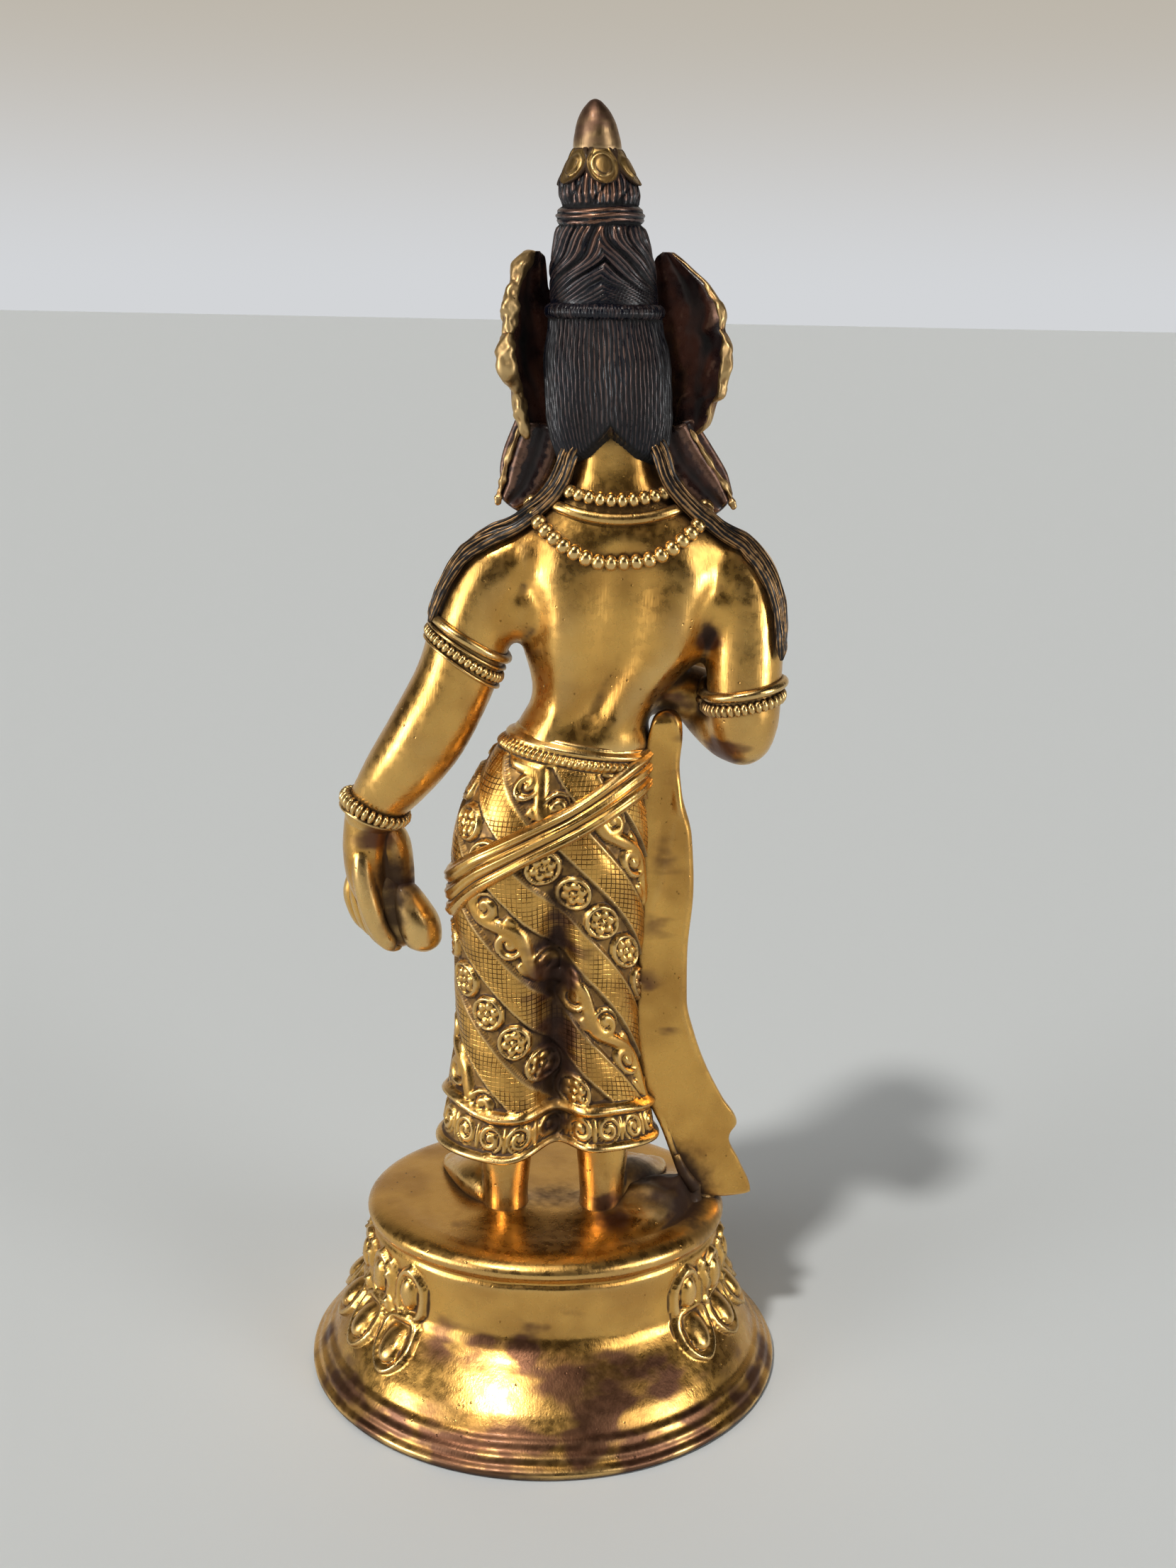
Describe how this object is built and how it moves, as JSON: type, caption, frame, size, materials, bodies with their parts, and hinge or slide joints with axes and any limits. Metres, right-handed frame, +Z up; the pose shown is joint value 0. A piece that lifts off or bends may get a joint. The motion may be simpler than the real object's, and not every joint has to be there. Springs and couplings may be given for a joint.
{
  "type": "padmapani bronze statue",
  "caption": "Standing gilt bronze bodhisattva with patterned skirt, crown and tall topknot, one hand raised and one lowered, on a flared lotus base.",
  "frame": {"origin": "middle of the base's round foot, on the surface it stands on", "axes": "+Z up, the figure faces -Y, so +X is its own left and +Y is its back"},
  "size_m": [0.0858, 0.086, 0.2208],
  "materials": {
    "gilt_bronze": "worn fire gilding on cast copper alloy, with dark brown patina in the hollows and dark blue-black pigment on the hair"
  },
  "bodies": {
    "root": {"padmapani_statue": "gilt_bronze"}
  },
  "joints": []
}
